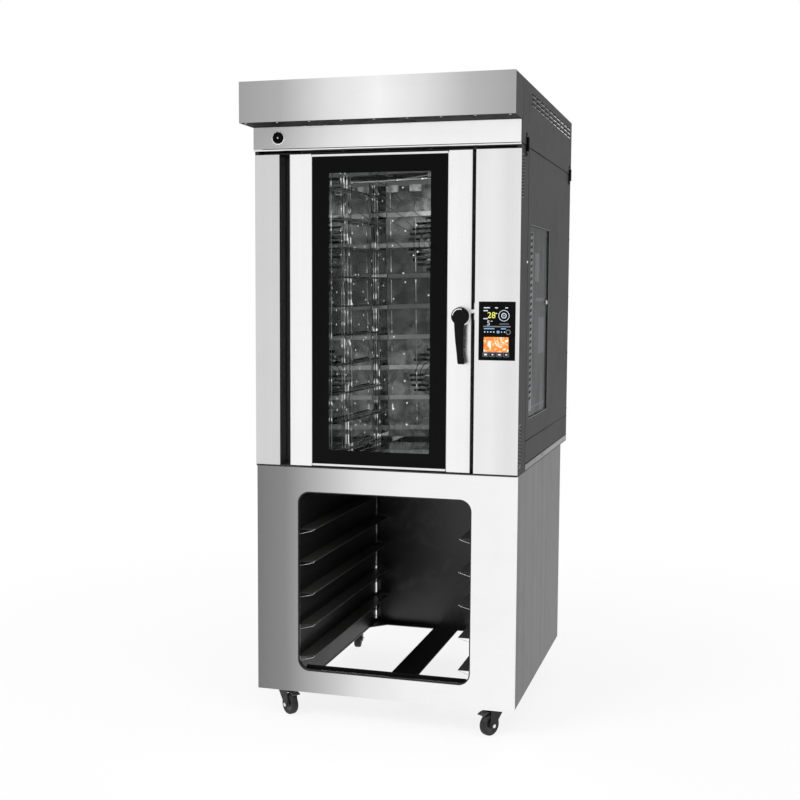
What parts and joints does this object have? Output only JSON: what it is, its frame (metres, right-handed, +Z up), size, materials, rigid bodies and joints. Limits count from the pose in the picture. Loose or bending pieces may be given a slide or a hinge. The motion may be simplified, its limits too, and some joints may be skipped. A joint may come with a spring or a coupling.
{
  "type": "deck oven",
  "caption": "Tall hot-air tray oven with one full-height glass door, lever handle, side touch panel and front hood, standing on a castored tray rack.",
  "frame": {"origin": "on the floor, at the middle of the whole outline", "axes": "+Z up, the door faces -Y, +X to the right of someone who faces the door"},
  "size_m": [0.941, 1.28, 2.222],
  "materials": {
    "front_steel": "satin stainless sheet",
    "hood_steel": "satin stainless sheet",
    "rack_front_steel": "satin stainless sheet",
    "rack_side_steel": "dull stainless sheet",
    "chamber_steel": "bright stainless sheet",
    "bright_chrome": "polished",
    "zinc": "zinc plated",
    "dark_paint": "dark grey satin paint",
    "black_steel": "black satin paint",
    "black_plastic": "moulded, satin",
    "gloss_black": "glossy",
    "wheel_rubber": "solid black tyre",
    "silicone": "matte silicone",
    "door_glass": "clear with a black printed border",
    "tinted_glass": "dark tinted",
    "lamp_glass": "frosted",
    "mineral_wool": "mineral wool, matte",
    "cast_aluminium": "cast, matte"
  },
  "bodies": {
    "carcass": {"rack_front_frame": "rack_front_steel", "rack_side_left": "rack_side_steel", "rack_side_right": "rack_side_steel", "rack_back_panel": "rack_side_steel", "rack_top_panel": "rack_side_steel", "rack_base_frame": "rack_side_steel", "rack_runners_left": "black_steel", "rack_runners_right": "black_steel", "caster_plate_front_left": "zinc", "caster_plate_front_right": "zinc", "caster_plate_rear_left": "zinc", "caster_plate_rear_right": "zinc", "base_plinth": "dark_paint", "front_post_left": "dark_paint", "front_post_right": "dark_paint", "side_panel_left": "dark_paint", "side_panel_right": "dark_paint", "side_window_glass": "tinted_glass", "left_front_panel": "front_steel", "control_panel": "front_steel", "touch_screen": "gloss_black", "front_bulkhead": "black_steel", "back_panel": "dark_paint", "cable_gland": "black_plastic", "hood_shell": "dark_paint", "hood_front": "hood_steel", "fascia_strip": "hood_steel", "vent_grille": "black_steel", "door_gasket": "silicone", "hinge_top": "zinc", "hinge_bottom": "zinc", "strike_plate": "zinc", "chamber_liner": "chamber_steel", "insulation_jacket": "mineral_wool", "tray_ladder_left": "chamber_steel", "tray_ladder_right": "chamber_steel", "fan_baffle": "chamber_steel", "fan_motor_upper": "cast_aluminium", "fan_motor_lower": "cast_aluminium", "heating_element": "black_steel", "chamber_lamp": "lamp_glass"},
    "door": {"door_frame": "front_steel", "door_glass_outer": "door_glass", "door_glass_inner": "door_glass", "handle_rose": "bright_chrome"},
    "handle": {"handle_lever": "black_plastic"},
    "bolt": {"latch_bolt": "zinc"},
    "button": {"light_button": "gloss_black"},
    "fan_wheel_upper": {"fan_upper": "chamber_steel"},
    "fan_wheel_lower": {"fan_lower": "chamber_steel"},
    "caster_front_left": {"caster_fork_front_left": "black_steel"},
    "caster_front_right": {"caster_fork_front_right": "black_steel"},
    "caster_rear_left": {"caster_fork_rear_left": "black_steel"},
    "caster_rear_right": {"caster_fork_rear_right": "black_steel"},
    "wheel_front_left": {"caster_wheel_front_left": "wheel_rubber"},
    "wheel_front_right": {"caster_wheel_front_right": "wheel_rubber"},
    "wheel_rear_left": {"caster_wheel_rear_left": "wheel_rubber"},
    "wheel_rear_right": {"caster_wheel_rear_right": "wheel_rubber"},
    "brake_front_left": {"caster_brake_front_left": "black_plastic"},
    "brake_front_right": {"caster_brake_front_right": "black_plastic"}
  },
  "joints": [
    {"name": "door_hinge", "type": "hinge", "parent": "carcass", "child": "door", "pos_m": [-0.322, -0.488, 1.455], "axis": [0, 0, -1], "range_deg": [0, 110]},
    {"name": "handle_turn", "type": "hinge", "parent": "door", "child": "handle", "pos_m": [0.272, -0.51, 1.445], "axis": [0, 1, 0], "range_deg": [0, 90]},
    {"name": "bolt_slide", "type": "slide", "parent": "door", "child": "bolt", "axis": [-1, 0, 0], "range_m": [0, 0.01]},
    {"name": "light_button_press", "type": "slide", "parent": "carcass", "child": "button", "axis": [0, 1, 0], "range_m": [0, 0.003], "stiffness_N_per_m": 300},
    {"name": "fan_upper_spin", "type": "hinge", "parent": "carcass", "child": "fan_wheel_upper", "pos_m": [-0.016, 0.33, 1.705], "axis": [0, 1, 0], "continuous": true},
    {"name": "fan_lower_spin", "type": "hinge", "parent": "carcass", "child": "fan_wheel_lower", "pos_m": [-0.016, 0.33, 1.195], "axis": [0, 1, 0], "continuous": true},
    {"name": "swivel_front_left", "type": "hinge", "parent": "carcass", "child": "caster_front_left", "pos_m": [-0.385, -0.432, 0.094], "axis": [0, 0, 1], "continuous": true},
    {"name": "swivel_front_right", "type": "hinge", "parent": "carcass", "child": "caster_front_right", "pos_m": [0.385, -0.432, 0.094], "axis": [0, 0, 1], "continuous": true},
    {"name": "swivel_rear_left", "type": "hinge", "parent": "carcass", "child": "caster_rear_left", "pos_m": [-0.385, 0.403, 0.094], "axis": [0, 0, 1], "continuous": true},
    {"name": "swivel_rear_right", "type": "hinge", "parent": "carcass", "child": "caster_rear_right", "pos_m": [0.385, 0.403, 0.094], "axis": [0, 0, 1], "continuous": true},
    {"name": "roll_front_left", "type": "hinge", "parent": "caster_front_left", "child": "wheel_front_left", "pos_m": [-0.36451, -0.44801, 0.0375], "axis": [0.6157, 0.788, 0], "continuous": true},
    {"name": "roll_front_right", "type": "hinge", "parent": "caster_front_right", "child": "wheel_front_right", "pos_m": [0.37122, -0.45405, 0.0375], "axis": [0.848, -0.5299, 0], "continuous": true},
    {"name": "roll_rear_left", "type": "hinge", "parent": "caster_rear_left", "child": "wheel_rear_left", "pos_m": [-0.38952, 0.42861, 0.0375], "axis": [-0.9848, -0.1736, 0], "continuous": true},
    {"name": "roll_rear_right", "type": "hinge", "parent": "caster_rear_right", "child": "wheel_rear_right", "pos_m": [0.38952, 0.42861, 0.0375], "axis": [-0.9848, 0.1736, 0], "continuous": true},
    {"name": "brake_front_left_press", "type": "hinge", "parent": "caster_front_left", "child": "brake_front_left", "pos_m": [-0.36136, -0.45047, 0.0857], "axis": [0.6157, 0.788, 0], "range_deg": [0, 12]},
    {"name": "brake_front_right_press", "type": "hinge", "parent": "caster_front_right", "child": "brake_front_right", "pos_m": [0.3691, -0.45744, 0.0857], "axis": [0.848, -0.5299, 0], "range_deg": [0, 12]}
  ],
  "couplings": [
    {"joint": "bolt_slide", "follows": "handle_turn", "m_per_rad": 0.00636}
  ]
}
